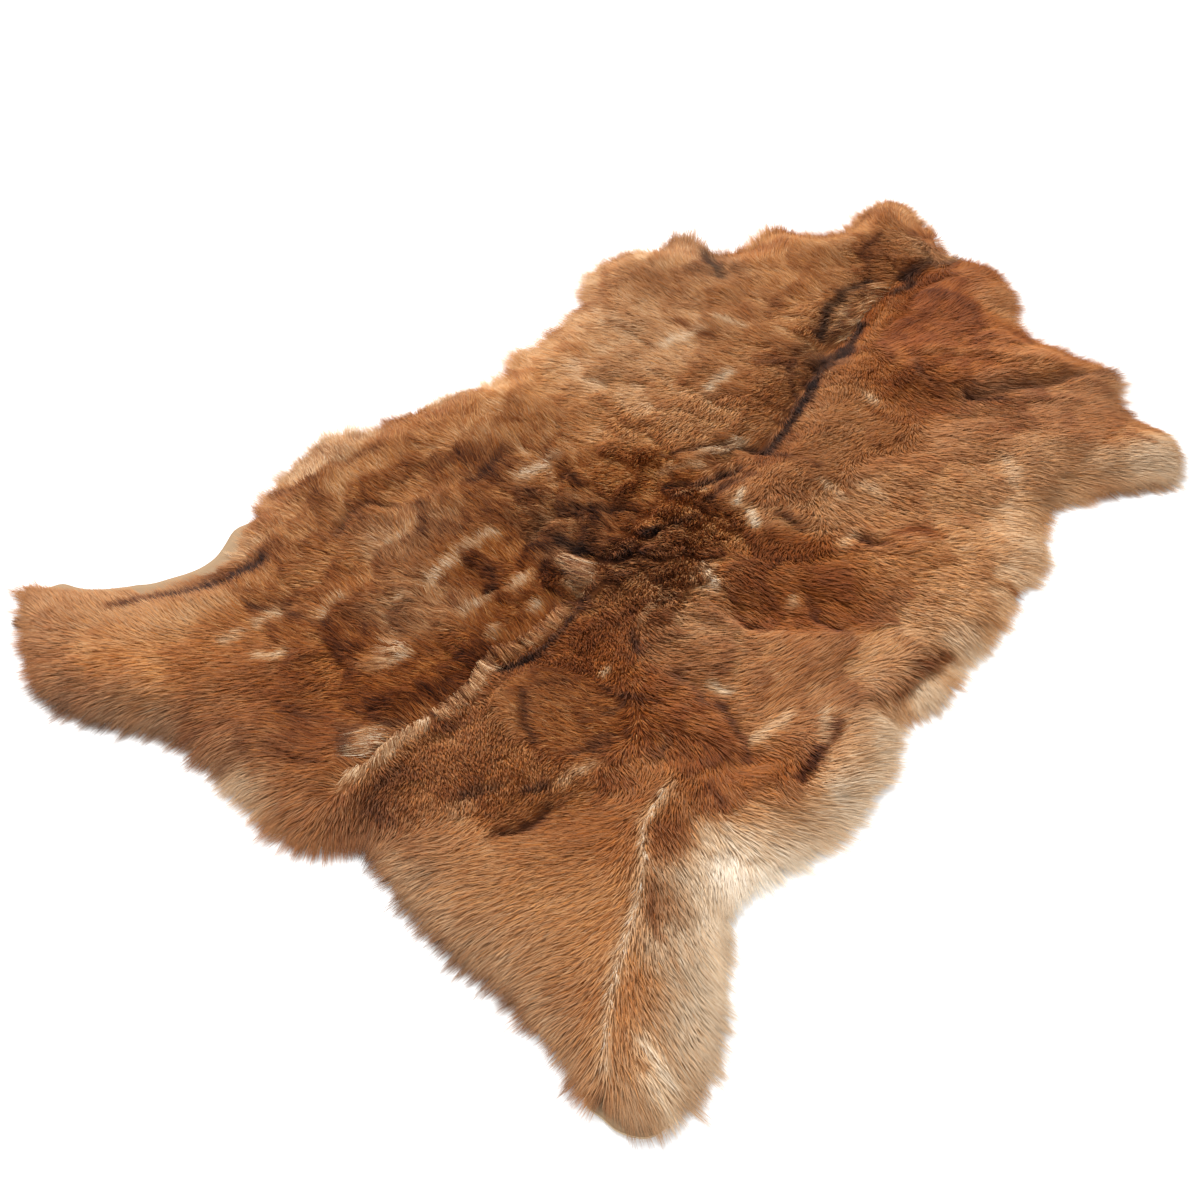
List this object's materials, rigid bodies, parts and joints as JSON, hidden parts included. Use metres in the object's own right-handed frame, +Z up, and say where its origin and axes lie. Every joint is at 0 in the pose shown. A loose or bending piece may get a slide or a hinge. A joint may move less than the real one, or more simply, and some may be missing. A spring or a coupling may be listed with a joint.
{
  "type": "goatskin rug",
  "caption": "Whole goatskin rug with its hair on, lying flat, with leg tabs, neck and a shaggy rim.",
  "frame": {"origin": "on the floor, under the middle of the rug's bounding box", "axes": "+Z up, +Y along the spine towards the neck, +X towards the animal's right side"},
  "size_m": [0.7224, 1.0827, 0.0295],
  "materials": {
    "coat": "combed goat hair, tan to dark brown",
    "skin": "suede flesh side of tanned leather"
  },
  "bodies": {
    "root": {"goatskin": "coat"}
  },
  "joints": []
}
